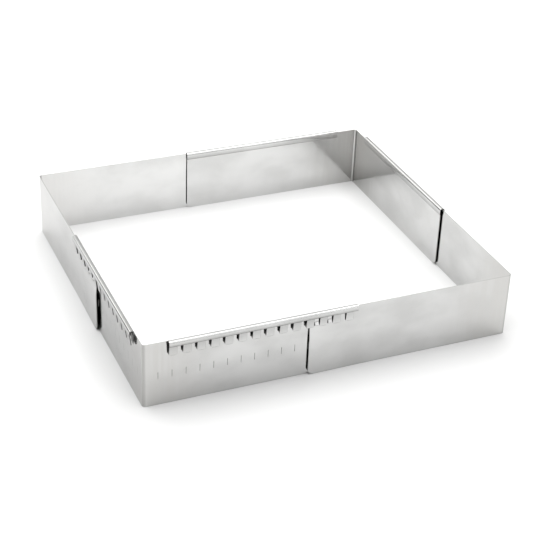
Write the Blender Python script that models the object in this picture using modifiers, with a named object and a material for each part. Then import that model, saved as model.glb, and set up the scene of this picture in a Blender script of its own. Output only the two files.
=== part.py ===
"""Adjustable cake frame: four bent steel corners whose legs slide in each other's rolled hems.

The frame stands on the XY plane, centred on the origin, with its width along X and its depth
along Y. Two opposite corners have a hem rolled outwards along the top of both legs. The legs of
the two plain corners run inside those hems, outside the hemmed walls. Two pressed nibs near the
end of each plain leg stand in the gaps between the tabs of the hem, so the frame sets in steps
of one tab pitch, and a row of engraved ticks on each hemmed wall shows the step.

Each corner is modelled in a frame of its own: the outer corner of the bend is at the origin, the
legs run along +X and +Y, and the outer faces look along -Y and -X. Lengths are in metres.
Run it with: blender --background --python part.py
"""
import math

import bmesh
import bpy
from mathutils import Matrix, Vector

# Sheet and bends
SHEET = 0.0005
WALL_HEIGHT = 0.050
BEND_RADIUS = 0.0025
LEG_CORNER_RADIUS = 0.0045
CLEARANCE = 0.0003

# Hem along a leg, measured from the outer corner
HEM_START = 0.018
SLIT_WIDTH = 0.0004
TAB_PITCH = 0.010
TAB_GAP = 0.0042
TAB_COUNT = 14
LAST_GAP_SHORT = 0.0010

# Section of the hem: a bead over the wall's top, then a flap of tabs
CREASE_DROP = 0.0048
BEAD_HEIGHT = 0.0043
TAB_LENGTH = 0.0072
TAB_CORNER_RADIUS = 0.0010
JOGGLE = 0.0003
JOGGLE_RISE = 0.0007

# Plain corners and their nibs
PLAIN_LEG = 0.160
PLAIN_GAP = 0.0009
NIB_COUNT = 2
NIB_FROM_END = 0.0049
NIB_PLAY = 0.0002
NIB_HEIGHT = 0.0052
NIB_DROP = 0.0012
NIB_DEPTH = 0.0007
NIB_SLOPE = 0.0006
NIB_CORNER_RADIUS = 0.0005

# Engraved ticks on the hemmed walls
TICK_WIDTH = 0.00035
TICK_LENGTH = 0.0057
TICK_DEPTH = 0.00015
TICK_HEIGHT = 0.0237

# How many steps the frame is drawn in from its widest and its deepest setting
STEPS_IN_ACROSS = 2
STEPS_IN_BACK = 4

# How far the cutters run past the faces that they cut
CUT_OVERRUN = 0.0010

# Smoothness of the round stretches
BEND_SEGMENTS = 6
CREST_SEGMENTS = 8
FILLET_SEGMENTS = 4
ROUND_PROFILE = 0.5
SHARP_ANGLE = math.radians(32)

# Offsets outwards from the outer face of the hemmed wall
PLAIN_FACE = PLAIN_GAP + SHEET
CHANNEL = PLAIN_FACE + NIB_DEPTH + CLEARANCE

# Section of the hem, with a crest that clears the top edge of the plain sheet
CREST_OFFSET = CHANNEL / 2
CREST_RADIUS = CHANNEL / 2 + JOGGLE
PLAIN_REACH = max(abs(PLAIN_FACE - CREST_OFFSET), abs(PLAIN_GAP - CREST_OFFSET))
CREST_CENTRE = WALL_HEIGHT + CLEARANCE - math.sqrt(CREST_RADIUS ** 2 - PLAIN_REACH ** 2)
CREST_TOP = CREST_CENTRE + CREST_RADIUS + SHEET
CREASE_HEIGHT = WALL_HEIGHT - CREASE_DROP
BEAD_FOOT = CREST_TOP - BEAD_HEIGHT
TAB_FOOT = BEAD_FOOT - TAB_LENGTH

# Places along the legs
TAB_WIDTH = TAB_PITCH - TAB_GAP
HEMMED_LEG = HEM_START + TAB_COUNT * TAB_PITCH - LAST_GAP_SHORT
TICK_START = HEM_START - TAB_GAP / 2 - NIB_FROM_END

# Nibs on the faces of the plain sheets
NIB_WIDTH = TAB_GAP - 2 * NIB_PLAY
NIB_CENTRE = BEAD_FOOT - NIB_DROP - NIB_HEIGHT / 2
NIB_ROOT = SHEET / 2

# Outer size of the hemmed walls, with each plain leg ending at its tick
LAST_STEP = TAB_COUNT - 1
WIDTH = PLAIN_LEG - PLAIN_FACE + TICK_START + (LAST_STEP - STEPS_IN_ACROSS) * TAB_PITCH
DEPTH = PLAIN_LEG - PLAIN_FACE + TICK_START + (LAST_STEP - STEPS_IN_BACK) * TAB_PITCH

QUARTER_TURN = math.radians(90)
STEEL_COLOUR = (0.60, 0.60, 0.595, 1.0)
STEEL_ROUGHNESS = 0.18


def clear_scene():
    """Remove every object that the scene holds."""
    for obj in list(bpy.data.objects):
        bpy.data.objects.remove(obj, do_unlink=True)


def new_collection(name):
    """Add a collection under the scene's own and return it."""
    collection = bpy.data.collections.new(name)
    bpy.context.scene.collection.children.link(collection)
    return collection


def steel(name):
    """Material of one corner: bright stainless sheet."""
    material = bpy.data.materials.new(name)
    material.use_nodes = True
    shader = material.node_tree.nodes["Principled BSDF"]
    shader.inputs["Base Color"].default_value = STEEL_COLOUR
    shader.inputs["Metallic"].default_value = 1.0
    shader.inputs["Roughness"].default_value = STEEL_ROUGHNESS
    return material


def leg_path(stations):
    """Outline of an L from the end of the Y leg, round the bend, to the end of the X leg.

    stations are distances from the outer corner, from the bend to the leg's end. Each point of the
    path is its place, its outward direction and its station, which is zero round the bend.
    """
    path = [(Vector((0, station)), Vector((-1, 0)), station) for station in reversed(stations)]
    centre = Vector((BEND_RADIUS, BEND_RADIUS))
    for step in range(1, BEND_SEGMENTS):
        angle = 2 * QUARTER_TURN + QUARTER_TURN * step / BEND_SEGMENTS
        outward = Vector((math.cos(angle), math.sin(angle)))
        path.append((centre + BEND_RADIUS * outward, outward, 0))
    path.extend((Vector((station, 0)), Vector((0, -1)), station) for station in stations)
    return path


def hem_strips():
    """Strips of a hemmed leg from the bend to its end: what each holds, and where it ends."""
    strips = [("plain", HEM_START - SLIT_WIDTH), ("slit", HEM_START)]
    for index in range(TAB_COUNT):
        tab_start = HEM_START + index * TAB_PITCH
        strips.append(("tab", tab_start + TAB_WIDTH))
        strips.append(("gap", tab_start + TAB_PITCH))
    strips[-1] = ("gap", HEMMED_LEG)
    return strips


def hem_section():
    """Section of the hem above the wall's crease, as the offset and height of its inner face.

    It joggles in to the bead's width, goes over the crest on a half circle, comes down the outside
    of the bead, joggles back to the channel's width and ends at the foot of the tabs.
    """
    section = [(-JOGGLE, CREASE_HEIGHT + JOGGLE_RISE)]
    for step in range(CREST_SEGMENTS + 1):
        angle = 2 * QUARTER_TURN * (1 - step / CREST_SEGMENTS)
        offset = CREST_OFFSET + CREST_RADIUS * math.cos(angle)
        height = CREST_CENTRE + CREST_RADIUS * math.sin(angle)
        section.append((offset, height))
    section.append((CHANNEL + JOGGLE, BEAD_FOOT + JOGGLE_RISE))
    section.append((CHANNEL, BEAD_FOOT))
    section.append((CHANNEL, TAB_FOOT))
    return section


def new_sheet(columns, rows):
    """Flat grid of cells, with tables of its vertices and faces by column and row."""
    bm = bmesh.new()
    bmesh.ops.create_grid(bm, x_segments=columns, y_segments=rows, size=1)
    verts = {}
    for vert in bm.verts:
        verts[round((vert.co.x + 1) / 2 * columns), round((vert.co.y + 1) / 2 * rows)] = vert
    cells = {}
    for face in bm.faces:
        middle = face.calc_center_median()
        cells[int((middle.x + 1) / 2 * columns), int((middle.y + 1) / 2 * rows)] = face
    return bm, verts, cells


def finish_sheet(bm, bend_vert, corners):
    """Face an open sheet outwards at its bend and round its corners, given as {vertex: radius}."""
    bmesh.ops.recalc_face_normals(bm, faces=bm.faces)
    bm.normal_update()
    if bend_vert.normal.dot(Vector((-1, -1, 0))) < 0:
        bmesh.ops.reverse_faces(bm, faces=bm.faces)
    for radius in set(corners.values()):
        verts = [vert for vert, size in corners.items() if size == radius]
        bmesh.ops.bevel(bm, geom=verts, offset=radius, affect="VERTICES", profile=ROUND_PROFILE,
                        segments=FILLET_SEGMENTS, clamp_overlap=True)


def mesh_from(bm, name):
    """Turn a bmesh into a mesh that is shaded smooth but for its folds."""
    mesh = bpy.data.meshes.new(name)
    bm.to_mesh(mesh)
    bm.free()
    mesh.shade_smooth()
    mesh.set_sharp_from_angle(angle=SHARP_ANGLE)
    return mesh


def hemmed_mesh():
    """Outer face of a hemmed corner, cut from a grid and folded over into the hem's channel.

    The first row of cells is the wall up to its crease. Above it the plain strips keep one row, up
    to the wall's height, the slits keep none, and the gaps between tabs lack only the last.
    """
    strips = hem_strips()
    stations = [BEND_RADIUS] + [end for _, end in strips]
    kinds = [kind for kind, _ in strips]
    kinds = kinds[::-1] + ["plain"] * BEND_SEGMENTS + kinds
    path = leg_path(stations)
    section = hem_section()
    last_row = len(section)
    bm, verts, cells = new_sheet(len(kinds), last_row + 1)

    heights = {"plain": 1, "slit": 0, "tab": last_row, "gap": last_row - 1}
    waste = [face for (column, row), face in cells.items() if row > heights[kinds[column]]]
    for (column, row), vert in verts.items():
        place, outward, station = path[column]
        offset, height = 0, 0
        if row == 1:
            height = CREASE_HEIGHT
        elif row > 1 and station >= HEM_START:
            offset, height = section[row - 2]
        elif row > 1:
            height = WALL_HEIGHT
        spot = place + outward * offset
        vert.co = (*spot, height)
    bmesh.ops.delete(bm, geom=waste, context="FACES")

    corners = {verts[0, 0]: LEG_CORNER_RADIUS, verts[len(kinds), 0]: LEG_CORNER_RADIUS}
    for column in range(len(path)):
        foot = verts[column, last_row + 1]
        if foot.is_valid:
            corners[foot] = TAB_CORNER_RADIUS
    inner = range(1, len(strips))
    seams = [(verts[column, 0], verts[column, 1]) for column in inner]
    seams += [(verts[len(kinds) - column, 0], verts[len(kinds) - column, 1]) for column in inner]
    edges = [bm.edges.get(seam) for seam in seams]
    bmesh.ops.dissolve_edges(bm, edges=edges, use_verts=True)
    finish_sheet(bm, verts[len(kinds) // 2, 0], corners)
    return mesh_from(bm, "hemmed_sheet")


def plain_mesh():
    """Outer face of a plain corner: two flat legs and the bend between them."""
    path = leg_path([BEND_RADIUS, PLAIN_LEG])
    columns = len(path) - 1
    bm, verts, _ = new_sheet(columns, 1)
    for (column, row), vert in verts.items():
        place = path[column][0]
        vert.co = (*place, row * WALL_HEIGHT)
    corners = {verts[0, 0]: LEG_CORNER_RADIUS, verts[columns, 0]: LEG_CORNER_RADIUS}
    finish_sheet(bm, verts[columns // 2, 0], corners)
    return mesh_from(bm, "plain_sheet")


def on_both_legs(station, height):
    """Placings of a shape drawn about the origin, looking along -Y, on the two outer faces."""
    on_x_leg = Matrix.Translation((station, 0, height))
    on_y_leg = Matrix.Translation((0, station, height)) @ Matrix.Rotation(-QUARTER_TURN, 4, "Z")
    return on_x_leg, on_y_leg


def add_block(bm, width, outer, inner, height, placing):
    """Add a block that reaches from the outer to the inner depth, centred in width and height."""
    size = Matrix.Diagonal((width, inner - outer, height, 1))
    middle = Matrix.Translation((0, (outer + inner) / 2, 0))
    return bmesh.ops.create_cube(bm, size=1, matrix=placing @ middle @ size)["verts"]


def tick_mesh():
    """Cutters of the ticks on both legs of a hemmed corner, one at each step."""
    bm = bmesh.new()
    for step in range(TAB_COUNT):
        for placing in on_both_legs(TICK_START + step * TAB_PITCH, TICK_HEIGHT):
            add_block(bm, TICK_WIDTH, -CUT_OVERRUN, TICK_DEPTH, TICK_LENGTH, placing)
    return mesh_from(bm, "ticks")


def resized(verts, grow):
    """Widen a nib's cross-section at some vertices by an amount on every side."""
    for vert in verts:
        vert.co.x *= 1 + 2 * grow / NIB_WIDTH
        vert.co.z *= 1 + 2 * grow / NIB_HEIGHT


def nib_shape(base, root):
    """One nib about the origin: a block with sloped sides and round corners.

    Its section has the nib's own size at the depth of base. It narrows outwards from there to its
    top, one nib depth away, and widens inwards at the same slope to the depth of its root.
    """
    bm = bmesh.new()
    verts = add_block(bm, NIB_WIDTH, base - NIB_DEPTH, base + root, NIB_HEIGHT, Matrix())
    top = [vert for vert in verts if vert.co.y < base]
    resized(top, -NIB_SLOPE)
    resized([vert for vert in verts if vert not in top], NIB_SLOPE * root / NIB_DEPTH)
    slanted = [edge for edge in bm.edges if (edge.verts[0] in top) != (edge.verts[1] in top)]
    bmesh.ops.bevel(bm, geom=slanted, offset=NIB_CORNER_RADIUS, affect="EDGES",
                    profile=ROUND_PROFILE, segments=FILLET_SEGMENTS, clamp_overlap=True)
    return mesh_from(bm, "nib")


def nib_mesh(name, base, root):
    """Nibs on both legs of a plain corner, with the base and root of nib_shape."""
    shape = nib_shape(base, root)
    bm = bmesh.new()
    for index in range(NIB_COUNT):
        for placing in on_both_legs(PLAIN_LEG - NIB_FROM_END - index * TAB_PITCH, NIB_CENTRE):
            nib = shape.copy()
            nib.transform(placing)
            bm.from_mesh(nib)
            bpy.data.meshes.remove(nib)
    bpy.data.meshes.remove(shape)
    return mesh_from(bm, name)


def place(obj, corner, turns, parent, collection):
    """Put an object's origin on a corner of the frame, turned by quarter turns about Z."""
    obj.location = (*corner, 0)
    obj.rotation_euler.z = turns * QUARTER_TURN
    obj.parent = parent
    collection.objects.link(obj)


def add_piece(name, mesh, corner, turns, parent, collection):
    """Add one bent sheet: the given outer face, thickened away from it."""
    piece = bpy.data.objects.new(name, mesh.copy())
    piece.data.name = name
    piece.data.materials.append(steel(name))
    place(piece, corner, turns, parent, collection)
    solid = piece.modifiers.new("sheet", "SOLIDIFY")
    solid.thickness = SHEET
    solid.offset = -1
    solid.use_even_offset = True
    solid.use_quality_normals = True
    return piece


def add_boolean(piece, mesh, operation, parent, collection):
    """Cut or raise a piece with a mesh drawn in the piece's own frame."""
    tool = bpy.data.objects.new(f"{piece.name}_{mesh.name}", mesh)
    place(tool, piece.location.xy, round(piece.rotation_euler.z / QUARTER_TURN), parent, collection)
    tool.hide_render = True
    tool.display_type = "WIRE"
    boolean = piece.modifiers.new(mesh.name, "BOOLEAN")
    boolean.object = tool
    boolean.operation = operation
    boolean.solver = "EXACT"


def main():
    """Model the frame at its set steps."""
    clear_scene()
    pieces = new_collection("adjustable_cake_frame")
    cutters = new_collection("cutters")
    frame = bpy.data.objects.new("cake_frame", None)
    pieces.objects.link(frame)

    hemmed_corner = Vector((WIDTH / 2, DEPTH / 2))
    plain_corner = hemmed_corner + Vector((PLAIN_FACE, PLAIN_FACE))
    mirror_x = Vector((-1, 1))

    sheet = hemmed_mesh()
    ticks = tick_mesh()
    for name, corner, turns in (("front_hemmed_corner", -hemmed_corner, 0),
                                ("back_hemmed_corner", hemmed_corner, 2)):
        piece = add_piece(name, sheet, corner, turns, frame, pieces)
        add_boolean(piece, ticks, "DIFFERENCE", frame, cutters)

    sheet = plain_mesh()
    nibs = nib_mesh("nibs", 0, NIB_ROOT)
    recesses = nib_mesh("nib_recesses", SHEET, CUT_OVERRUN)
    for name, corner, turns in (("right_plain_corner", -plain_corner * mirror_x, 1),
                                ("left_plain_corner", plain_corner * mirror_x, 3)):
        piece = add_piece(name, sheet, corner, turns, frame, pieces)
        add_boolean(piece, nibs, "UNION", frame, cutters)
        add_boolean(piece, recesses, "DIFFERENCE", frame, cutters)


main()
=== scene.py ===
"""Looks of the adjustable cake frame: four bent steel corners on a white table.

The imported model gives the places, the bodies and the joints. Each of its four solids is stood for
by a finer sheet, worked out as a surface of two parameters: a station along the L of the corner
and a place on the section of the wall, which on the hemmed corners goes on over the hem.
Stations are signed. They run from the end of the leg along Y, through zero at the bend, to the end
of the leg along X. Lengths are in metres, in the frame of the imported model.
"""
import logging
import math
from dataclasses import dataclass
from enum import Enum

import bmesh
import bpy
import numpy as np
from mathutils import Matrix, Vector


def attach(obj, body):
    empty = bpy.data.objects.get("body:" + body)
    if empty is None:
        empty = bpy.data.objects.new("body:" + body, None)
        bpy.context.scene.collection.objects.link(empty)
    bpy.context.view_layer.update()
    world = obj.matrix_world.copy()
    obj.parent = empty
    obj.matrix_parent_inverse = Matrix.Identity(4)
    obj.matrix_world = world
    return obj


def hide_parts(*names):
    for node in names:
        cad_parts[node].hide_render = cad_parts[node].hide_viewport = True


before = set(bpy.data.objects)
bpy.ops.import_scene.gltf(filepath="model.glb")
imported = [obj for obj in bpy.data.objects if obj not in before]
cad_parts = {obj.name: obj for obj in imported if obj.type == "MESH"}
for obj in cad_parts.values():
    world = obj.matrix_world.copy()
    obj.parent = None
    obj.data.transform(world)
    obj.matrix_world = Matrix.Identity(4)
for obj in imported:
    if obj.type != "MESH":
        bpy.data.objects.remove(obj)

LOG = logging.getLogger("cake_frame")
UV_NAME = "sheet"
CUT_NAME = "cut_edge"
# Name of the point attribute that carries the painted shade of a sheet.
PAINTED_SHADE_NAME = "painted_shade"
# Stations are rounded to a micrometre, and places closer than that count as one.
STATION_DECIMALS = 6
SAME_PLACE = 1e-6
# Points of a mesh closer than this are one, and edges that turn by more than this are sharp.
WELD_DISTANCE = 1e-7
SHARP_ANGLE = math.radians(34)

Socket = bpy.types.NodeSocket
Colour = tuple[float, float, float]
Feed = Socket | Colour | float


class Quarter(Enum):
    """Quarter turns about Z that stand a corner, drawn at the front left, where it belongs."""

    FRONT_LEFT = 0
    FRONT_RIGHT = 1
    BACK_RIGHT = 2
    BACK_LEFT = 3


class Cut(Enum):
    """What is left of the blank above the crease along one stretch of a hemmed leg."""

    WALL = 0
    SLIT = 1
    TAB = 2
    GAP = 3


class Mix(Enum):
    """What a Mix node mixes, with the numbers of its two inputs and of its output."""

    VALUE = ("FLOAT", 2, 3, 0)
    COLOUR = ("RGBA", 6, 7, 2)


def eased(share: np.ndarray) -> np.ndarray:
    """Smooth step from 0 to 1: three times the square less twice the cube of the share."""
    held = np.clip(share, 0.0, 1.0)
    return held * held * (3.0 - 2.0 * held)


def merged(*stations: np.ndarray) -> np.ndarray:
    """All given stations in rising order, rounded to a micrometre, with equal ones made one."""
    return np.unique(np.round(np.concatenate(stations), STATION_DECIMALS))


def corner_inset(height: np.ndarray, radius: float) -> np.ndarray:
    """How far a round corner stands in from its leg's end.

    At a height above the corner's foot the circle gives radius less the root of radius squared
    less (radius less height) squared. Above the radius the inset is zero.

    Args:
        height: Heights above the foot of the corner.
        radius: Radius of the corner.

    Returns:
        The inset at each height.
    """
    drop = np.clip(radius - height, 0.0, radius)
    return radius - np.sqrt(radius**2 - drop**2)


def placed(name: str, data: bpy.types.ID) -> bpy.types.Object:
    """Put new data into the scene.

    Args:
        name: Name of the object.
        data: Its mesh, light or camera.

    Returns:
        The object, at the origin.
    """
    thing = bpy.data.objects.new(name, data)
    bpy.context.scene.collection.objects.link(thing)
    return thing


@dataclass(frozen=True)
class SheetStock:
    """The steel sheet that all four corners are bent from.

    guard is how far a spare row or column stands from the end of a bend or a cut. foot_reach
    is in foot radii, and inner_bend_peak a share of the way from the bend's middle to its end.
    """

    thickness: float = 0.0005
    height: float = 0.050
    bend_radius: float = 0.0025
    foot_radius: float = 0.0045
    foot_reach: float = 1.5
    bend_columns: int = 20
    foot_rows: int = 8
    edge_break: float = 0.00007
    edge_segments: int = 2
    edge_angle: float = 75.0
    guard: float = 0.0001
    # Painted shade: a dim reflection round the outer bend, shade on the inner bend, and a contact shadow
    # along the foot.
    bend_painted_shade: float = 0.34
    inner_bend_painted_shade: float = 0.55
    inner_bend_peak: float = 0.6
    foot_painted_shadow: float = 0.35
    foot_shadow_height: float = 0.0009

    def foot_heights(self) -> np.ndarray:
        """Rows of the round lower corners: radius times one less the sine of even angles."""
        angles = np.linspace(math.pi / 2, 0.0, self.foot_rows + 1)
        return self.foot_radius * (1.0 - np.sin(angles))


@dataclass
class Section:
    """Section of a sheet's wall: offset outwards and height of its outer face, foot first."""

    offset: np.ndarray
    height: np.ndarray

    def back(self, thickness: float) -> tuple[np.ndarray, np.ndarray]:
        """Offset and height of the other face, a constant sheet's thickness away.

        The normal of each stretch is its direction turned right. A point moves back along the sum
        of its two stretches' normals over one plus their dot product, times the thickness.

        Args:
            thickness: Thickness of the sheet.

        Returns:
            Offsets and heights of the inner face, row by row.
        """
        points = np.stack([self.offset, self.height], axis=1)
        runs = np.diff(points, axis=0)
        runs /= np.linalg.norm(runs, axis=1, keepdims=True)
        normals = np.stack([runs[:, 1], -runs[:, 0]], axis=1)
        before = np.concatenate([normals[:1], normals])
        after = np.concatenate([normals, normals[-1:]])
        mitre = (before + after) / (1.0 + np.sum(before * after, axis=1, keepdims=True))
        moved = points - thickness * mitre
        return moved[:, 0], moved[:, 1]

    def length(self) -> np.ndarray:
        """Length of the section up to each row."""
        steps = np.hypot(np.diff(self.offset), np.diff(self.height))
        return np.concatenate([[0.0], np.cumsum(steps)])


@dataclass
class FoldedSheet:
    """A sheet as a grid of columns along the legs and rows up the section, with cells cut away.

    outer and inner hold the points of the two faces by column and row, and the two fields after
    them how much painted shade darkens each face there. uv is the place on the flat blank, and
    kept says which cells are steel.
    """

    outer: np.ndarray
    inner: np.ndarray
    outer_painted_shade: np.ndarray
    inner_painted_shade: np.ndarray
    uv: np.ndarray
    kept: np.ndarray

    def faces(self) -> tuple[np.ndarray, int]:
        """Quads of the two faces, then of the cut edges between them, all facing outwards.

        A cell gives one quad on each face. A grid line with steel on one side only gives a quad
        from the outer to the inner face.

        Returns:
            Vertex numbers by quad, and how many of the quads lie on the two faces.
        """
        columns, rows = self.kept.shape
        out = np.arange((columns + 1) * (rows + 1)).reshape(columns + 1, rows + 1)
        inn = out + out.size
        cells = np.nonzero(self.kept)
        near, far = self._quads(out, *cells), self._quads(inn, *cells)[:, ::-1]
        padded = np.pad(self.kept, 1)
        across = padded[1:, 1:-1].astype(int) - padded[:-1, 1:-1]
        along = padded[1:-1, 1:].astype(int) - padded[1:-1, :-1]
        sides = [near, far]
        for rising in (1, -1):
            c, r = np.nonzero(across == rising)
            quads = np.stack([out[c, r], out[c, r + 1], inn[c, r + 1], inn[c, r]], axis=1)
            sides.append(quads[:, ::rising])
            c, r = np.nonzero(along == rising)
            quads = np.stack([out[c, r], inn[c, r], inn[c + 1, r], out[c + 1, r]], axis=1)
            sides.append(quads[:, ::rising])
        return np.concatenate(sides), len(near) + len(far)

    @staticmethod
    def _quads(index: np.ndarray, c: np.ndarray, r: np.ndarray) -> np.ndarray:
        """Quads of the given cells of a face."""
        return np.stack([index[c, r], index[c + 1, r], index[c + 1, r + 1], index[c, r + 1]], axis=1)

    def mesh(self, name: str) -> bpy.types.Mesh:
        """Closed mesh of the sheet, with its map of the flat blank and its cut edges marked.

        Args:
            name: Name of the mesh.

        Returns:
            The mesh, shaded smooth but for its cut edges.
        """
        faces, on_face = self.faces()
        used, vertex_of = np.unique(faces, return_inverse=True)
        faces = vertex_of.reshape(faces.shape)
        points = np.concatenate([self.outer.reshape(-1, 3), self.inner.reshape(-1, 3)])[used]
        uv = np.concatenate([self.uv.reshape(-1, 2)] * 2)[used]
        mesh = bpy.data.meshes.new(name)
        mesh.vertices.add(len(points))
        mesh.vertices.foreach_set("co", points.ravel())
        mesh.loops.add(faces.size)
        mesh.loops.foreach_set("vertex_index", faces.ravel())
        mesh.polygons.add(len(faces))
        mesh.polygons.foreach_set("loop_start", np.arange(0, faces.size, 4))
        mesh.update(calc_edges=True)
        layer = mesh.uv_layers.new(name=UV_NAME)
        layer.data.foreach_set("uv", uv[faces.ravel()].ravel())
        cut = mesh.attributes.new(CUT_NAME, "FLOAT", "FACE")
        cut.data.foreach_set("value", (np.arange(len(faces)) >= on_face).astype(float))
        # Painted shade of both faces, stored on the points for the material.
        painted_shade = np.concatenate([self.outer_painted_shade.ravel(), self.inner_painted_shade.ravel()])[used]
        mesh.attributes.new(PAINTED_SHADE_NAME, "FLOAT", "POINT").data.foreach_set("value", painted_shade)
        self._close(mesh)
        return mesh

    @staticmethod
    def _close(mesh: bpy.types.Mesh) -> None:
        """Merge the points that a round corner brings together, and set the shading.

        Args:
            mesh: The mesh to close.
        """
        bm = bmesh.new()
        bm.from_mesh(mesh)
        bmesh.ops.remove_doubles(bm, verts=bm.verts, dist=WELD_DISTANCE)
        bm.to_mesh(mesh)
        bm.free()
        mesh.validate()
        mesh.shade_smooth()
        mesh.set_sharp_from_angle(angle=SHARP_ANGLE)


@dataclass
class NodeBoard:
    """A material's nodes, with one method for each kind of node that the finishes use."""

    tree: bpy.types.NodeTree

    def link(self, source: Socket, target: Socket) -> None:
        """Link two sockets."""
        self.tree.links.new(source, target)

    def feed(self, socket: Socket, value: Feed) -> None:
        """Link a socket to another, or set it to a number or a colour.

        Args:
            socket: The input.
            value: A socket, a number, or a colour of three numbers.
        """
        if isinstance(value, Socket):
            self.link(value, socket)
        elif isinstance(value, tuple):
            socket.default_value = (*value, 1.0)
        else:
            socket.default_value = value

    def blank_place(self, uv_name: str) -> Socket:
        """Place on the flat blank.

        Args:
            uv_name: Name of the sheet's map.

        Returns:
            The place, in metres along the blank and up it.
        """
        node = self.tree.nodes.new("ShaderNodeUVMap")
        node.uv_map = uv_name
        return node.outputs["UV"]

    def blank_map(self, uv_name: str, shift: float) -> Socket:
        """Place on the flat blank, moved by the shift along it and by half the shift up it.

        Args:
            uv_name: Name of the sheet's map.
            shift: The shift in metres.

        Returns:
            The moved place.
        """
        place = self.blank_place(uv_name)
        moved = self.tree.nodes.new("ShaderNodeMapping")
        moved.inputs["Location"].default_value = (shift, shift / 2, 0.0)
        self.link(place, moved.inputs["Vector"])
        return moved.outputs["Vector"]

    def from_bend(self, uv_name: str) -> Socket:
        """Distance along the flat blank from the middle of the bend.

        Args:
            uv_name: Name of the sheet's map.

        Returns:
            The distance in metres.
        """
        place = self.blank_place(uv_name)
        parts = self.tree.nodes.new("ShaderNodeSeparateXYZ")
        self.link(place, parts.inputs["Vector"])
        return self.math("ABSOLUTE", parts.outputs["X"])

    def object_map(self) -> Socket:
        """Object coordinates."""
        return self.tree.nodes.new("ShaderNodeTexCoord").outputs["Object"]

    def attribute(self, name: str) -> Socket:
        """Value of a mesh attribute.

        Args:
            name: Name of the attribute.

        Returns:
            The value.
        """
        node = self.tree.nodes.new("ShaderNodeAttribute")
        node.attribute_name = name
        return node.outputs["Fac"]

    def noise(
        self,
        vector: Socket,
        scale: float = 1.0,
        stretch: tuple[float, float] = (1.0, 1.0),
        detail: float = 2.0,
    ) -> Socket:
        """Noise from 0 to 1.

        Args:
            vector: Place in metres.
            scale: Waves per metre.
            stretch: Factors along the two directions of the sheet.
            detail: Octaves.

        Returns:
            The noise's value.
        """
        mapped = self.tree.nodes.new("ShaderNodeMapping")
        mapped.inputs["Scale"].default_value = (*stretch, 1.0)
        noise = self.tree.nodes.new("ShaderNodeTexNoise")
        noise.inputs["Scale"].default_value = scale
        noise.inputs["Detail"].default_value = detail
        self.link(vector, mapped.inputs["Vector"])
        self.link(mapped.outputs["Vector"], noise.inputs["Vector"])
        return noise.outputs["Fac"]

    def ramp(self, value: Socket, low: float, high: float) -> Socket:
        """Smooth rise from 0 to 1.

        Args:
            value: The value to follow.
            low: Where the rise starts.
            high: Where it ends.

        Returns:
            The risen share.
        """
        node = self.tree.nodes.new("ShaderNodeMapRange")
        node.interpolation_type = "SMOOTHSTEP"
        node.inputs["From Min"].default_value = low
        node.inputs["From Max"].default_value = high
        self.link(value, node.inputs["Value"])
        return node.outputs["Result"]

    def math(self, operation: str, *values: Feed) -> Socket:
        """Result of a Math node.

        Args:
            operation: The node's operation.
            *values: Sockets and numbers for its inputs, in order.

        Returns:
            The result.
        """
        node = self.tree.nodes.new("ShaderNodeMath")
        node.operation = operation
        for socket, value in zip(node.inputs, values):
            self.feed(socket, value)
        return node.outputs["Value"]

    def mix(self, kind: Mix, factor: Socket, low: Feed, high: Feed) -> Socket:
        """Mix of two numbers or of two colours.

        Args:
            kind: Which of the two.
            factor: Share of the second.
            low: The first.
            high: The second.

        Returns:
            The mix.
        """
        data_type, first, second, result = kind.value
        node = self.tree.nodes.new("ShaderNodeMix")
        node.data_type = data_type
        self.link(factor, node.inputs[0])
        self.feed(node.inputs[first], low)
        self.feed(node.inputs[second], high)
        return node.outputs[result]

    def bump(self, height: Socket, depth: float, under: Socket | None = None) -> Socket:
        """Normal of a bump.

        Args:
            height: Height from 0 to 1.
            depth: Depth of the bump in metres.
            under: Normal of another bump that it lies on, if there is one.

        Returns:
            The normal.
        """
        node = self.tree.nodes.new("ShaderNodeBump")
        node.inputs["Distance"].default_value = depth
        self.link(height, node.inputs["Height"])
        if under is not None:
            self.link(under, node.inputs["Normal"])
        return node.outputs["Normal"]


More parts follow.
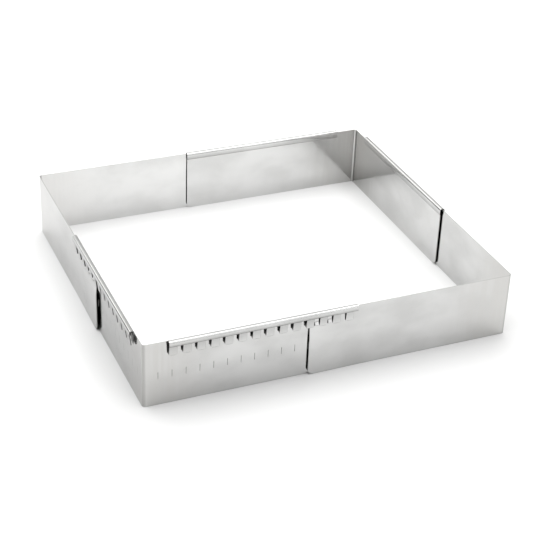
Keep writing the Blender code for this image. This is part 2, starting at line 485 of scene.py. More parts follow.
@dataclass(frozen=True)
class SteelFinish:
    """Bright rolled stainless sheet: a soft mirror with rolling lines, haze, handling marks and painted
    shade.
    """

    slot: str = "stainless_sheet"
    bright: Colour = (0.65, 0.65, 0.645)
    dull: Colour = (0.565, 0.565, 0.56)
    warm: Colour = (0.58, 0.574, 0.561)
    cut: Colour = (0.42, 0.42, 0.41)
    # Colour of the painted shade that the mesh's attribute mixes in.
    painted_shade_colour: Colour = (0.045, 0.045, 0.043)
    grazing: Colour = (0.82, 0.82, 0.82)
    gloss: float = 0.055
    haze: float = 0.14
    smudge_haze: float = 0.06
    line_haze: float = 0.03
    cut_roughness: float = 0.42
    dark_roughness: float = 0.50
    warm_reach: tuple[float, float] = (0.006, 0.065)
    cloud_scale: float = 28.0
    cloud_stretch: tuple[float, float] = (1.0, 1.6)
    cloud_ramp: tuple[float, float] = (0.35, 0.70)
    smudge_scale: float = 75.0
    smudge_ramp: tuple[float, float] = (0.52, 0.78)
    line_scale: tuple[float, float] = (1700.0, 35.0)
    line_depth: float = 0.000004
    streak_scale: tuple[float, float] = (260.0, 9.0)
    streak_ramp: tuple[float, float] = (0.35, 0.65)
    streak_share: float = 0.4
    bow_scale: float = 16.0
    bow_stretch: tuple[float, float] = (0.6, 1.0)
    bow_depth: float = 0.00010

    def material(self, name: str, shift: float) -> bpy.types.Material:
        """Material of one corner.

        Clouds of noise on the flat blank mix the bright and the dull colour and the gloss and the
        haze. Smudges and rolling lines add to the haze. Next to the bend the steel takes the warm
        colour, all of it on a streak up the sheet and less by the streaks' share between two. Bump
        comes from slow waves, the bow of the thin sheet, and from the rolling lines. Where the
        mesh says so, painted shade darkens the steel and makes it rougher: inside the hem, behind the
        tabs, on the sheared rims, in the ticks, along the crest and the joggles, round the bend and
        along the foot. Cut edges are rougher.

        Args:
            name: Name of the material.
            shift: How far the patterns are moved, so that no two corners are alike.

        Returns:
            The material.
        """
        material = bpy.data.materials.new(name)
        material.use_nodes = True
        board = NodeBoard(material.node_tree)
        shader = board.tree.nodes["Principled BSDF"]
        shader.inputs["Metallic"].default_value = 1.0
        shader.inputs["Specular Tint"].default_value = (*self.grazing, 1.0)
        flat = board.blank_map(UV_NAME, shift)
        clouds = board.noise(flat, self.cloud_scale, self.cloud_stretch, detail=3.0)
        smudges = board.noise(flat, self.smudge_scale, detail=5.0)
        lines = board.noise(flat, stretch=self.line_scale)
        bow = board.noise(flat, self.bow_scale, self.bow_stretch, detail=1.0)
        soft_clouds = board.ramp(clouds, *self.cloud_ramp)
        sparse_smudges = board.ramp(smudges, *self.smudge_ramp)
        edge = board.attribute(CUT_NAME)
        painted_shade = board.attribute(PAINTED_SHADE_NAME)
        near_bend = board.math("SUBTRACT", 1.0, board.ramp(board.from_bend(UV_NAME), *self.warm_reach))
        streaks = board.ramp(board.noise(flat, stretch=self.streak_scale), *self.streak_ramp)
        warmth = board.math("MULTIPLY_ADD", streaks, self.streak_share, 1.0 - self.streak_share)
        streaked_bend = board.math("MULTIPLY", near_bend, warmth)

        colour = board.mix(Mix.COLOUR, soft_clouds, self.bright, self.dull)
        colour = board.mix(Mix.COLOUR, streaked_bend, colour, self.warm)
        colour = board.mix(Mix.COLOUR, edge, colour, self.cut)
        # Painted shade: the attribute darkens the steel towards the shade colour.
        colour = board.mix(Mix.COLOUR, painted_shade, colour, self.painted_shade_colour)
        board.link(colour, shader.inputs["Base Color"])
        rough = board.mix(Mix.VALUE, soft_clouds, self.gloss, self.haze)
        rough = board.math("MULTIPLY_ADD", sparse_smudges, self.smudge_haze, rough)
        rough = board.math("MULTIPLY_ADD", lines, self.line_haze, rough)
        rough = board.mix(Mix.VALUE, edge, rough, self.cut_roughness)
        rough = board.mix(Mix.VALUE, painted_shade, rough, self.dark_roughness)
        board.link(rough, shader.inputs["Roughness"])
        waves = board.bump(bow, self.bow_depth)
        board.link(board.bump(lines, self.line_depth, waves), shader.inputs["Normal"])
        return material


@dataclass(frozen=True)
class FloorFinish:
    """White matt table top."""

    colour: Colour = (0.90, 0.90, 0.90)
    shade: Colour = (0.885, 0.885, 0.887)
    roughness: float = 0.75
    specular: float = 0.2
    mottle_scale: float = 9.0
    grain_scale: float = 900.0
    grain_depth: float = 0.00003

    def material(self) -> bpy.types.Material:
        """White paint with a trace of mottle and a fine grain, on Object coordinates.

        Returns:
            The material.
        """
        material = bpy.data.materials.new("white_table")
        material.use_nodes = True
        board = NodeBoard(material.node_tree)
        shader = board.tree.nodes["Principled BSDF"]
        shader.inputs["Specular IOR Level"].default_value = self.specular
        shader.inputs["Roughness"].default_value = self.roughness
        place = board.object_map()
        mottle = board.noise(place, self.mottle_scale)
        grain = board.noise(place, self.grain_scale, detail=1.0)
        paint = board.mix(Mix.COLOUR, mottle, self.colour, self.shade)
        board.link(paint, shader.inputs["Base Color"])
        board.link(board.bump(grain, self.grain_depth), shader.inputs["Normal"])
        return material


@dataclass
class BentCorner:
    """One corner of the frame: an L of sheet, which takes the place of a node of the model."""

    name: str
    node: str
    body: str
    quarter: Quarter
    apex: tuple[float, float]
    stock: SheetStock
    finish: SteelFinish

    def bend_stations(self) -> np.ndarray:
        """Stations round the bend, with a guard column just past each end of it.

        Returns:
            The signed stations.
        """
        radius = self.stock.bend_radius
        bend = np.linspace(-radius, radius, self.stock.bend_columns + 1)
        past = radius + self.stock.guard
        return merged(bend, np.array([-past, past]))

    def both_legs(self, leg: np.ndarray) -> np.ndarray:
        """Signed stations of the whole corner from those of one leg, with the bend between."""
        return merged(-leg, self.bend_stations(), leg)

    def lay(self, station: np.ndarray, offset: np.ndarray, height: np.ndarray) -> np.ndarray:
        """Points of the bent sheet, in the frame of the whole object.

        Round the bend the outward direction turns from -X to -Y: its angle is 225 degrees plus 45
        times the station over the bend's radius, held between 180 and 270. A point is the bend's
        centre, plus the radius and the offset along that direction, plus what the station has
        beyond the radius along the leg. The height is Z. Then the corner is turned by its quarter
        turns and moved to its apex.

        Args:
            station: Signed stations.
            offset: Offsets outwards from the outer face of the wall.
            height: Heights above the table.

        Returns:
            Points, with x, y and z on the last axis.
        """
        radius = self.stock.bend_radius
        angle = np.radians(225.0 + 45.0 * np.clip(station / radius, -1.0, 1.0))
        reach = radius + offset
        x = radius + reach * np.cos(angle) + np.maximum(station - radius, 0.0)
        y = radius + reach * np.sin(angle) + np.maximum(-station - radius, 0.0)
        turn = self.quarter.value * math.pi / 2
        cos, sin = round(math.cos(turn)), round(math.sin(turn))
        east = self.apex[0] + cos * x - sin * y
        north = self.apex[1] + sin * x + cos * y
        return np.stack([east, north, height], axis=-1)

    def blank_length(self, station: np.ndarray) -> np.ndarray:
        """Length along the flat blank: stations, with those of the bend stretched by pi / 4.

        Args:
            station: Signed stations.

        Returns:
            Signed lengths from the middle of the bend.
        """
        radius = self.stock.bend_radius
        in_bend = np.clip(station, -radius, radius)
        return station - in_bend * (1.0 - math.pi / 4)

    def foot_start(self, leg: float) -> float:
        """Station from which the columns are drawn in: the foot's reach short of the end."""
        return leg - self.stock.foot_reach * self.stock.foot_radius

    def round_foot(
        self, station: np.ndarray, height: np.ndarray, leg: float, end: np.ndarray
    ) -> np.ndarray:
        """Stations drawn in towards the bend so that a leg's end has a round lower corner.

        Past the start of the foot, the distance from that start is scaled so that the leg's length
        comes to lie at the end, less the corner's inset.

        Args:
            station: Signed stations.
            height: Heights above the table, for each station.
            leg: Length of the leg.
            end: Where the leg is to end, for each station.

        Returns:
            The new signed stations.
        """
        start = self.foot_start(leg)
        beyond = np.maximum(np.abs(station) - start, 0.0)
        share = (end - corner_inset(height, self.stock.foot_radius) - start) / (leg - start)
        return np.sign(station) * (np.minimum(np.abs(station), start) + beyond * share)

    def outside_painted_shade(self, station: np.ndarray, height: np.ndarray) -> np.ndarray:
        """Painted shade on the outer face: a dim reflection round the bend and a contact shadow along the
        foot.

        Round the bend it goes with one less the square of the share of the way from the bend's
        middle to its end. Along the foot it fades with height.

        Args:
            station: Signed stations.
            height: Heights above the table.

        Returns:
            The painted shade at each point.
        """
        bend = np.clip(1.0 - (station / self.stock.bend_radius) ** 2, 0.0, 1.0)
        foot = 1.0 - eased(height / self.stock.foot_shadow_height)
        return np.maximum(self.stock.bend_painted_shade * bend, self.stock.foot_painted_shadow * foot)

    def inside_painted_shade(self, station: np.ndarray) -> np.ndarray:
        """Painted shade on the inner face of the bend: most at the peak on either side of its middle.

        It falls evenly to nothing half of the bend's radius away from the peak.

        Args:
            station: Signed stations.

        Returns:
            The painted shade at each point.
        """
        share = np.abs(station) / self.stock.bend_radius
        from_peak = np.abs(share - self.stock.inner_bend_peak)
        return self.stock.inner_bend_painted_shade * np.clip(1.0 - 2.0 * from_peak, 0.0, 1.0)

    def sheet(self) -> FoldedSheet:
        """The bent sheet, which each kind of corner works out for itself."""
        raise NotImplementedError

    def build(self, shift: float) -> bpy.types.Object:
        """Make the piece, dress it and put it on its body in place of its node.

        Args:
            shift: Shift of the finish's patterns.

        Returns:
            The piece.
        """
        mesh = self.sheet().mesh(self.name)
        mesh.materials.append(self.finish.material(self.name, shift))
        piece = placed(self.name, mesh)
        bevel = piece.modifiers.new("broken_edges", "BEVEL")
        bevel.width = self.stock.edge_break
        bevel.segments = self.stock.edge_segments
        bevel.limit_method = "ANGLE"
        bevel.angle_limit = math.radians(self.stock.edge_angle)
        bevel.harden_normals = True
        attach(piece, self.body)
        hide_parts(self.node)
        LOG.info("%s: %d faces, on %s, for %s", self.name, len(mesh.polygons), self.body, self.node)
        return piece


@dataclass
class HemmedCorner(BentCorner):
    """A corner with a slit, a hem rolled outwards over the top, tabs below it, and a tick row.

    tick_columns are shares of a tick's width, and tick_end_share is the share of half its length
    over which its floor rises at either end. Painted shade covers the top of the crest from one
    share of its radius on, over another. The painted shade in the channel starts some rows past
    the crease and eases in over some more.
    """

    slit: float = 0.0002
    hem_start: float = 0.018
    pitch: float = 0.010
    tab_width: float = 0.0058
    tab_count: int = 14
    last_gap_short: float = 0.0010
    wall_short: float = 0.0015
    wall_short_rise: float = 0.0015
    channel: float = 0.0024
    flap_in: float = 0.0009
    joggle: float = 0.0003
    joggle_rise: float = 0.0007
    crease: float = 0.0452
    crest_centre: float = 0.0488303
    bead_foot: float = 0.0465303
    tab_foot: float = 0.0393303
    tab_radius: float = 0.0010
    tick_start: float = 0.011
    tick_width: float = 0.00035
    tick_length: float = 0.0057
    tick_depth: float = 0.00015
    tick_height: float = 0.0237
    tick_end_share: float = 0.06
    tick_columns: tuple[float, ...] = (-0.7, -0.5, -0.25, 0.0, 0.25, 0.5, 0.7)
    tab_columns: int = 6
    flat_columns: int = 6
    wall_end_rows: int = 5
    joggle_rows: int = 8
    crest_rows: int = 24
    tab_foot_rows: int = 6
    rim_width: float = 0.00016
    hidden_fade: float = 0.0005
    # Painted shade: in the channel, at the joggles, along the crest, on the sheared rims, on the wall
    # behind the tabs and in the ticks.
    channel_painted_shade: float = 0.90
    channel_start_rows: int = 2
    channel_fade_rows: int = 6
    joggle_painted_shade: float = 0.55
    crest_painted_shade: float = 0.52
    crest_shade_from: float = 0.85
    crest_shade_over: float = 0.12
    rim_painted_shade: float = 0.75
    hidden_painted_shade: float = 0.65
    tick_painted_shade: float = 0.85

    @property
    def leg(self) -> float:
        """Length of a leg."""
        return self.hem_start + self.tab_count * self.pitch - self.last_gap_short

    def tick_stations(self) -> np.ndarray:
        """Middles of the ticks on one leg."""
        return self.tick_start + self.pitch * np.arange(self.tab_count)

    def leg_stations(self) -> np.ndarray:
        """Stations of one leg: the stretches' ends, columns across each tab, and the ticks.

        Returns:
            The stations, in rising order.
        """
        starts = self.hem_start + self.pitch * np.arange(self.tab_count)
        rim = self.rim_width * np.array([1.0, -1.0]) + np.array([0.0, self.tab_width])
        across = np.concatenate([np.linspace(0.0, self.tab_width, self.tab_columns + 1), rim])
        tabs = (starts[:, None] + across).ravel()
        slit = self.hem_start - self.slit
        ends = np.array([slit, self.foot_start(self.leg), self.leg])
        groove = self.tick_width * np.array(self.tick_columns)
        ticks = (self.tick_stations()[:, None] + groove).ravel()
        past_bend = self.stock.bend_radius + self.stock.guard
        return merged(tabs, ends, ticks, np.linspace(past_bend, slit, self.flat_columns + 1))

    def wall_heights(self) -> np.ndarray:
        """Rows of the straight wall.

        They are those of the round foot, of the ticks with their sloping ends, of what the tabs
        hide, and of the trimmed end, up to the crease.

        Returns:
            The heights, in rising order.
        """
        tick_half = self.tick_length / 2
        floor = 1.0 - self.tick_end_share
        ends = np.array([1.0, floor, -floor, -1.0]) * tick_half
        guards = np.array([1.0, -1.0]) * (tick_half + self.stock.guard)
        tick_rows = self.tick_height + np.concatenate([ends, guards])
        hidden_rows = self.tab_foot + np.array([0.0, self.hidden_fade])
        shares = np.linspace(1.0, 0.0, self.wall_end_rows + 1)[:-1]
        end_rows = self.crease - self.wall_short_rise * shares
        crease_rows = np.array([self.crease - self.stock.guard, self.crease])
        return merged(self.stock.foot_heights(), tick_rows, hidden_rows, end_rows, crease_rows)

    def section(self) -> tuple[Section, dict[Cut, int]]:
        """Section of the hem, and up to which row each kind of stretch is steel.

        The wall is straight up to the crease. The joggle eases the offset to minus its depth. The
        crest is a half circle whose radius is half the channel plus the joggle. The bead comes
        straight down its outside, the joggle eases back to the channel, and the flap leans in
        evenly down to the foot of the tabs, with rows for their round corners.

        Returns:
            The section, and the number of the row at the top of each kind of stretch.
        """
        wall = self.wall_heights()
        ease = np.linspace(0.0, 1.0, self.joggle_rows + 1)
        rise = self.crease + self.joggle_rise * ease[1:]
        rise_offset = -self.joggle * eased(ease[1:])
        angle = math.pi * (1.0 - np.linspace(0.0, 1.0, self.crest_rows + 1))
        radius = self.channel / 2 + self.joggle
        crest_offset = self.channel / 2 + radius * np.cos(angle)
        crest = self.crest_centre + radius * np.sin(angle)
        fall = self.bead_foot + self.joggle_rise * (1.0 - ease)
        fall_offset = self.channel + self.joggle * eased(1.0 - ease)
        quarter = np.linspace(math.pi / 2, 0.0, self.tab_foot_rows + 1)
        tab_rows = self.tab_foot + self.tab_radius * np.sin(quarter)
        flap = np.concatenate([[self.bead_foot - self.stock.guard], tab_rows])
        lean = (self.bead_foot - flap) / (self.bead_foot - self.tab_foot)
        flap_offset = self.channel - self.flap_in * lean
        offsets = [np.zeros_like(wall), rise_offset, crest_offset, fall_offset, flap_offset]
        height = np.concatenate([wall, rise, crest, fall, flap])
        crease_row = len(wall) - 1
        wall_row = crease_row + len(rise) + 1
        bead_row = wall_row + len(crest) + len(fall) - 1
        tops = {
            Cut.WALL: wall_row + 1,
            Cut.SLIT: crease_row,
            Cut.TAB: len(height) - 1,
            Cut.GAP: bead_row,
        }
        return Section(np.concatenate(offsets), height), tops

    def cuts(self, station: np.ndarray) -> np.ndarray:
        """Kind of stretch at each station.

        Args:
            station: Signed stations.

        Returns:
            The values of Cut.
        """
        along = np.abs(station)
        in_pitch = np.mod(along - self.hem_start, self.pitch)
        last_tab = self.hem_start + (self.tab_count - 1) * self.pitch + self.tab_width
        on_tab = (in_pitch < self.tab_width) & (along < last_tab)
        hem = np.where(on_tab, Cut.TAB.value, Cut.GAP.value)
        low = np.where(along < self.hem_start - self.slit, Cut.WALL.value, Cut.SLIT.value)
        return np.where(along < self.hem_start, low, hem)

    def round_tabs(self, station: np.ndarray, height: np.ndarray, on_flap: np.ndarray) -> np.ndarray:
        """Stations drawn in towards the middle of their tab, so that its foot has round corners.

        The distance from the tab's middle is scaled by half its width less the corner's inset,
        over half its width.

        Args:
            station: Signed stations.
            height: Heights above the table.
            on_flap: Whether a point lies on the flap.

        Returns:
            The new signed stations.
        """
        along = np.abs(station)
        half = self.tab_width / 2
        step = np.floor((along - self.hem_start + SAME_PLACE) / self.pitch)
        middle = self.hem_start + step * self.pitch + half
        share = 1.0 - corner_inset(height - self.tab_foot, self.tab_radius) / half
        drawn = middle + (along - middle) * share
        in_tab = np.abs(along - middle) < half + SAME_PLACE
        on_tab = on_flap & (along >= self.hem_start - SAME_PLACE) & in_tab
        return np.where(on_tab, np.sign(station) * drawn, station)

    def engraving(self, station: np.ndarray, height: np.ndarray) -> np.ndarray:
        """Depth of the ticks: a groove across whose floor is half as wide as its mouth.

        The depth is the tick's own, times the share of the way in from its sides over a quarter of
        its width, times the same from its ends over their share of half its length.

        Args:
            station: Signed stations.
            height: Heights above the table.

        Returns:
            The depth at each point.
        """
        step = np.round((np.abs(station) - self.tick_start) / self.pitch)
        middle = self.tick_start + np.clip(step, 0, self.tab_count - 1) * self.pitch
        from_side = self.tick_width / 2 - np.abs(np.abs(station) - middle)
        from_end = self.tick_length / 2 - np.abs(height - self.tick_height)
        side = np.clip(from_side / (self.tick_width / 4), 0.0, 1.0)
        end = np.clip(from_end / (self.tick_end_share * self.tick_length / 2), 0.0, 1.0)
        return self.tick_depth * side * end

    def sheet(self) -> FoldedSheet:
        """The bent and hemmed sheet, with its slits, gaps and ticks.

        Between the bend and the slit the wall goes on straight up to the sheet's height.

        Returns:
            The sheet.
        """
        station = self.both_legs(self.leg_stations())
        section, tops = self.section()
        back_offset, back_height = section.back(self.stock.thickness)
        rows = np.arange(len(section.height))
        plain = (np.abs(station) < self.hem_start - SAME_PLACE)[:, None]
        wall_height = np.where(rows < tops[Cut.WALL], section.height, self.stock.height)
        crease = tops[Cut.SLIT]
        grid = np.broadcast_to(station[:, None], (len(station), len(rows)))
        height = np.where(plain, wall_height, section.height)
        offset = np.where(plain, 0.0, section.offset)
        low = np.where(rows <= crease, section.height, self.stock.height)
        along = self.round_foot(grid, low, self.leg, self.wall_end(low))
        along = self.round_tabs(along, height, rows > tops[Cut.GAP])
        depth = self.engraving(grid, height) * (rows < crease)
        outer = self.lay(along, offset - depth, height)
        inner_offset = np.where(plain, -self.stock.thickness, back_offset)
        inner = self.lay(along, inner_offset, np.where(plain, wall_height, back_height))
        middles = (station[1:] + station[:-1]) / 2
        top_of = np.array([tops[cut] for cut in Cut])[self.cuts(middles)]
        kept = rows[:-1] < top_of[:, None]
        up_blank = np.broadcast_to(section.length(), grid.shape)
        uv = np.stack([self.blank_length(along), up_blank], axis=-1)
        # Painted shade of both faces.
        outer_painted_shade, inner_painted_shade = self.painted_shading(grid, height, rows, crease, depth)
        return FoldedSheet(outer, inner, outer_painted_shade, inner_painted_shade, uv, kept)

    def wall_end(self, height: np.ndarray) -> np.ndarray:
        """Where the wall ends: short of the leg at first, easing out to it up to the crease.

        Args:
            height: Heights above the table.

        Returns:
            The station of the end at each height.
        """
        low = self.crease - self.wall_short_rise
        rise = eased((height - low) / self.wall_short_rise)
        return self.leg - self.wall_short * (1.0 - rise)

    def painted_shading(
        self, station: np.ndarray, height: np.ndarray, rows: np.ndarray, crease: int, depth: np.ndarray
    ) -> tuple[np.ndarray, np.ndarray]:
        """Painted shade on the two faces at each point of the grid.

        Both get painted shade at the joggles, by how far the offset has eased between its two values,
        and along the top of the crest, by the share of its radius that a row has risen. The outer
        face, which comes to lie inside the hem's channel, gets painted shade from the crest on, and
        so do the ticks, in full from half of their depth. The wall gets painted shade where a tab
        hides it. The sheared rims of the tabs and of the hem's end get painted shade on the inner
        face, which shows.

        Args:
            station: Signed stations.
            height: Heights above the table.
            rows: Numbers of the rows.
            crease: Number of the crease's row.
            depth: How deep the ticks are.

        Returns:
            The outer and the inner face's painted shade.
        """
        on_hem = np.abs(station) >= self.hem_start - SAME_PLACE
        below = np.abs(height - self.crease - self.joggle_rise / 2) / self.joggle_rise
        above = np.abs(height - self.bead_foot - self.joggle_rise / 2) / self.joggle_rise
        past_crest = rows > crease + self.joggle_rows + self.crest_rows // 2
        from_joggle = np.where(past_crest, above, below)
        risen = (height - self.crest_centre) / (self.channel / 2 + self.joggle)
        crest = self.crest_painted_shade * eased((risen - self.crest_shade_from) / self.crest_shade_over)
        joggled = self.joggle_painted_shade * (1.0 - eased(from_joggle))
        creased = np.maximum(crest, joggled) * on_hem * (rows >= crease)
        rows_in = rows - crease - self.channel_start_rows
        in_channel = self.channel_painted_shade * eased(rows_in / self.channel_fade_rows) * on_hem
        wall = self.outside_painted_shade(station, height)
        ticks = self.tick_painted_shade * np.clip(2.0 * depth / self.tick_depth, 0.0, 1.0)
        in_pitch = np.mod(np.abs(station) - self.hem_start + SAME_PLACE, self.pitch) - SAME_PLACE
        from_side = np.minimum(np.abs(in_pitch), np.abs(in_pitch - self.tab_width))
        on_side = from_side < 2 * SAME_PLACE
        on_foot = rows == rows[-1]
        on_flap = past_crest & (height < self.bead_foot)
        on_end = (np.abs(station) < self.hem_start + SAME_PLACE) & (rows > crease)
        sheared = ((on_side | on_foot) & on_flap) | on_end
        half = self.tab_width / 2
        inside_tab = np.abs(in_pitch - half) < half - 2 * SAME_PLACE
        above_foot = height > self.tab_foot + SAME_PLACE
        hidden = self.hidden_painted_shade * (inside_tab & on_hem & (rows <= crease) & above_foot)
        outer = np.maximum.reduce([creased, in_channel, wall, ticks, hidden])
        rims = self.rim_painted_shade * (sheared & on_hem)
        return outer, np.maximum.reduce([creased, rims, self.inside_painted_shade(station)])


@dataclass
class PlainCorner(BentCorner):
    """A corner whose legs slide in the hems, with two pressed nibs near the end of each leg.

    The columns of the flare end at a share of its run from the leg's end.
    """

    leg: float = 0.160
    nib_count: int = 2
    nib_pitch: float = 0.010
    nib_from_end: float = 0.0049
    nib_width: float = 0.0038
    nib_height: float = 0.0052
    nib_centre: float = 0.0427303
    nib_depth: float = 0.0014
    nib_lip: float = 0.0009
    nib_flank: float = 0.0005
    nib_step: float = 0.0001
    flare: float = 0.00060
    flare_run: float = 0.050
    flare_foot: float = 0.030
    flare_top: float = 0.039
    flare_columns: int = 15
    flare_columns_end: float = 0.3
    flare_rows: int = 10

    def nib_stations(self) -> np.ndarray:
        """Middles of the nibs on one leg."""
        return self.leg - self.nib_from_end - self.nib_pitch * np.arange(self.nib_count)

    def pressing(self, station: np.ndarray, height: np.ndarray) -> np.ndarray:
        """How far the nibs are pressed out: ramps that rise from the top to a crown over a lip.

        The crown stands a lip's height above the nib's foot. Above it the depth is the square of
        the share of the way down from the nib's top, and below it falls with the square of the way
        down the lip. Along the leg the nib is level, and eases down to the sheet over a flank at
        either side.

        Args:
            station: Signed stations.
            height: Heights above the table.

        Returns:
            How far each point is pressed out.
        """
        across = np.abs(np.abs(station)[..., None] - self.nib_stations()).min(axis=-1)
        crown = self.nib_centre - self.nib_height / 2 + self.nib_lip
        above = np.clip(1.0 - (height - crown) / (self.nib_height - self.nib_lip), 0.0, 1.0) ** 2
        below = np.clip(1.0 - ((height - crown) / self.nib_lip) ** 2, 0.0, 1.0)
        upright = np.where(height > crown, above, below)
        return self.nib_depth * upright * eased((self.nib_width / 2 - across) / self.nib_flank)

    def spring(self, station: np.ndarray, height: np.ndarray) -> np.ndarray:
        """How far the free end of a leg springs out below the tabs that hold it.

        It is the flare, eased in along its run to the end and eased out between the two heights.

        Args:
            station: Signed stations.
            height: Heights above the table.

        Returns:
            How far each point is sprung out.
        """
        run = eased((np.abs(station) - self.leg + self.flare_run) / self.flare_run)
        fall = eased((self.flare_top - height) / (self.flare_top - self.flare_foot))
        return self.flare * run * fall

    def nib_steps(self, size: float) -> np.ndarray:
        """Even steps either way from the middle of a nib to just past its sides.

        Args:
            size: Width or height of the nib.

        Returns:
            The steps, twice over the middle.
        """
        steps = np.arange(0.0, size / 2 + 2 * self.nib_step, self.nib_step)
        return np.concatenate([-steps, steps])

    def sheet(self) -> FoldedSheet:
        """The bent sheet with its nibs, pressed out on both faces alike.

        Returns:
            The sheet.
        """
        nibs = (self.nib_stations()[:, None] + self.nib_steps(self.nib_width)).ravel()
        ends = np.array([self.stock.bend_radius, self.foot_start(self.leg), self.leg])
        run = self.flare_run * np.linspace(1.0, self.flare_columns_end, self.flare_columns)
        station = self.both_legs(merged(nibs, ends, self.leg - run))
        middle = self.nib_centre + self.nib_steps(self.nib_height)
        sprung = np.linspace(self.flare_foot, self.flare_top, self.flare_rows)
        top = np.array([self.stock.height])
        height = merged(self.stock.foot_heights(), middle, sprung, top)
        shape = (len(station), len(height))
        grid = np.broadcast_to(station[:, None], shape)
        level = np.broadcast_to(height, shape)
        along = self.round_foot(grid, level, self.leg, self.leg)
        pressed = self.pressing(along, level) + self.spring(grid, level)
        outer = self.lay(along, pressed, level)
        inner = self.lay(along, pressed - self.stock.thickness, level)
        kept = np.ones((shape[0] - 1, shape[1] - 1), dtype=bool)
        uv = np.stack([self.blank_length(along), level], axis=-1)
        # Painted shade round the bend and along the foot, on both faces.
        painted_shade = self.outside_painted_shade(grid, level), self.inside_painted_shade(grid)
        return FoldedSheet(outer, inner, *painted_shade, uv, kept)


@dataclass(frozen=True)
class CakeFrame:
    """The whole frame as set: two hemmed and two plain corners."""

    width: float = 0.2796
    depth: float = 0.2596
    plain_face: float = 0.0014
    back_gap_short: float = 0.0026
    back_wall_short: float = 0.0
    pattern_shift: float = 0.37
    stock: SheetStock = SheetStock()
    finish: SteelFinish = SteelFinish()
    # Painted light: a lighter copy of the steel for the left corner, standing in for the extra light on
    # its walls.
    lit_left_finish: SteelFinish = SteelFinish(
        bright=(0.70, 0.70, 0.695), dull=(0.62, 0.62, 0.615), warm=(0.71, 0.705, 0.695)
    )
    # Painted light and shade: a copy of the steel for the back corner, a little lighter where clouded as
    # painted light on its walls, and darker next to the bend as painted shade in its inside corner.
    back_light_and_shade_finish: SteelFinish = SteelFinish(
        bright=(0.65, 0.65, 0.645), dull=(0.575, 0.575, 0.57), warm=(0.53, 0.525, 0.513)
    )

    def corner(
        self,
        kind: type[BentCorner],
        body: str,
        quarter: Quarter,
        apex: tuple[float, float],
        finish: SteelFinish,
        **sizes: float,
    ) -> BentCorner:
        """A corner whose sheet and node are named after its body.

        Args:
            kind: Hemmed or plain.
            body: Name of the body that carries it.
            quarter: Its turn.
            apex: Where its outer faces would meet.
            finish: Its finish.
            **sizes: Sizes in which it differs from its kind.

        Returns:
            The corner.
        """
        names = (f"{body}_sheet", f"{body}_corner", body)
        return kind(*names, quarter, apex, self.stock, finish, **sizes)

    def corners(self) -> list[BentCorner]:
        """The four corners, where the model has them. The back hems end level with their walls.

        Returns:
            The corners: front and back hemmed, right and left plain.
        """
        x, y = self.width / 2, self.depth / 2
        far_x, far_y = x + self.plain_face, y + self.plain_face
        return [
            self.corner(HemmedCorner, "front_hemmed", Quarter.FRONT_LEFT, (-x, -y), self.finish),
            self.corner(
                HemmedCorner,
                "back_hemmed",
                Quarter.BACK_RIGHT,
                (x, y),
                self.back_light_and_shade_finish,
                last_gap_short=self.back_gap_short,
                wall_short=self.back_wall_short,
            ),
            self.corner(PlainCorner, "right_plain", Quarter.FRONT_RIGHT, (far_x, -far_y), self.finish),
            self.corner(PlainCorner, "left_plain", Quarter.BACK_LEFT, (-far_x, far_y), self.lit_left_finish),
        ]

    def build(self) -> list[bpy.types.Object]:
        """Make all four pieces, with the patterns of each shifted by one step more."""
        steps = enumerate(self.corners(), start=1)
        return [corner.build(self.pattern_shift * step) for step, corner in steps]


@dataclass(frozen=True)
class SoftBox:
    """A studio light with a diffuser, hung on a sphere round the object and turned to it.

    Its azimuth is from +Y towards +X. Its brightness is that of its diffuser, where the white of
    the picture is 1.
    """

    name: str
    azimuth: float
    elevation: float
    brightness: float
    distance: float = 1.3
    width: float = 0.9
    length: float = 0.9
    colour: Colour = (1.0, 1.0, 1.0)
    aim: tuple[float, float, float] = (0.0, 0.0, 0.03)

    def place(self) -> Vector:
        """Where the light hangs.

        Returns:
            The place, its distance away along its azimuth and elevation.
        """
        azimuth, elevation = math.radians(self.azimuth), math.radians(self.elevation)
        out = Vector((math.sin(azimuth), math.cos(azimuth), 0.0)) * math.cos(elevation)
        return self.distance * (out + Vector((0.0, 0.0, math.sin(elevation))))

    def build(self) -> bpy.types.Object:
        """Hang the light. Its power is pi times its area times its brightness.

        Returns:
            The light.
        """
        data = bpy.data.lights.new(self.name, "AREA")
        data.shape = "RECTANGLE"
        data.size = self.width
        data.size_y = self.length
        data.energy = math.pi * self.width * self.length * self.brightness
        data.color = self.colour
        light = placed(self.name, data)
        light.location = self.place()
        away = Vector(self.aim) - light.location
        light.rotation_euler = away.to_track_quat("-Z", "Y").to_euler()
        LOG.info("%s: %.2f W", self.name, data.energy)
        return light


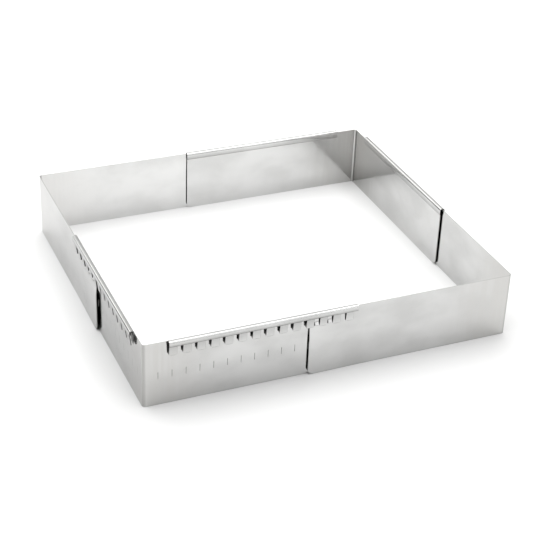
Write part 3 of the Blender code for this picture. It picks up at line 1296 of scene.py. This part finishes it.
@dataclass(frozen=True)
class Studio:
    """White table, soft boxes and the pale room round them."""

    floor_half: float = 12.0
    floor_points: int = 9
    floor: FloorFinish = FloorFinish()
    room: Colour = (0.03, 0.03, 0.03)
    boxes: tuple[SoftBox, ...] = (
        SoftBox("overhead_box", 0.0, 90.0, 2.67, width=1.4, length=1.4, colour=(1.0, 1.0, 0.99)),
        SoftBox("back_box", 5.0, 48.0, 1.68, width=2.2, length=0.78, colour=(1.0, 1.0, 0.985)),
        SoftBox("right_box", 95.0, 48.0, 1.08, width=1.1),
        SoftBox("left_box", 268.0, 48.0, 1.52, width=1.1, colour=(0.99, 0.995, 1.0)),
        SoftBox("front_box", 159.5, 33.0, 1.26, distance=2.2, width=0.72, length=2.6),
        SoftBox("backdrop_box", 5.0, 17.0, 0.97, distance=1.7, width=3.0, length=1.02),
    )

    def build(self) -> bpy.types.Object:
        """Make the table top, a flat square grid of points, the lights and the room.

        Returns:
            The table top.
        """
        steps = np.linspace(-self.floor_half, self.floor_half, self.floor_points)
        x, y = np.meshgrid(steps, steps, indexing="ij")
        points = np.stack([x, y, np.zeros_like(x)], axis=-1).reshape(-1, 3)
        index = np.arange(x.size).reshape(x.shape)
        quads = np.stack([index[:-1, :-1], index[1:, :-1], index[1:, 1:], index[:-1, 1:]], axis=-1)
        mesh = bpy.data.meshes.new("table_top")
        mesh.from_pydata(points.tolist(), [], quads.reshape(-1, 4).tolist())
        mesh.materials.append(self.floor.material())
        table = placed("table_top", mesh)
        for box in self.boxes:
            box.build()
        self.light_room()
        return table

    def light_room(self) -> None:
        """Fill the room with an even pale light, and show tones as they are."""
        world = bpy.data.worlds.new("pale_room")
        world.use_nodes = True
        background = world.node_tree.nodes["Background"]
        background.inputs["Color"].default_value = (*self.room, 1.0)
        background.inputs["Strength"].default_value = 1.0
        bpy.context.scene.world = world
        bpy.context.scene.view_settings.view_transform = "Standard"


@dataclass(frozen=True)
class PhotoCamera:
    """The camera of the photograph, as fitted to the frame's corners and tabs."""

    azimuth: float = 23.492
    fall: float = 30.558
    roll: float = 2.215
    place: tuple[float, float, float] = (-0.38032, -0.88383, 0.57951)
    focal_pixels: float = 1437.955
    frame_pixels: int = 533
    sensor: float = 36.0
    sight: float = 50.0

    def build(self) -> bpy.types.Object:
        """Stand the camera.

        It looks along an azimuth from +Y towards +X and falls below the horizon. Its right and up
        are then rolled about that direction.

        Returns:
            The camera, made the scene's own.
        """
        azimuth, fall, roll = (math.radians(angle) for angle in (self.azimuth, self.fall, self.roll))
        level_ahead = Vector((math.sin(azimuth), math.cos(azimuth), 0.0))
        ahead = math.cos(fall) * level_ahead - Vector((0.0, 0.0, math.sin(fall)))
        level = Vector((math.cos(azimuth), -math.sin(azimuth), 0.0))
        above = level.cross(ahead)
        right = math.cos(roll) * level + math.sin(roll) * above
        up = math.cos(roll) * above - math.sin(roll) * level
        data = bpy.data.cameras.new("photo_camera")
        data.sensor_fit = "HORIZONTAL"
        data.sensor_width = self.sensor
        data.lens = self.focal_pixels / self.frame_pixels * self.sensor
        data.clip_end = self.sight
        camera = placed("photo_camera", data)
        turned = Matrix((right, up, -ahead)).transposed().to_4x4()
        camera.matrix_world = Matrix.Translation(self.place) @ turned
        bpy.context.scene.camera = camera
        return camera


def main() -> None:
    """Stand the camera, light the studio and build the frame."""
    logging.basicConfig(level=logging.INFO, format="%(name)s: %(message)s")
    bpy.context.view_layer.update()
    PhotoCamera().build()
    Studio().build()
    CakeFrame().build()


if __name__ == "__main__":
    main()
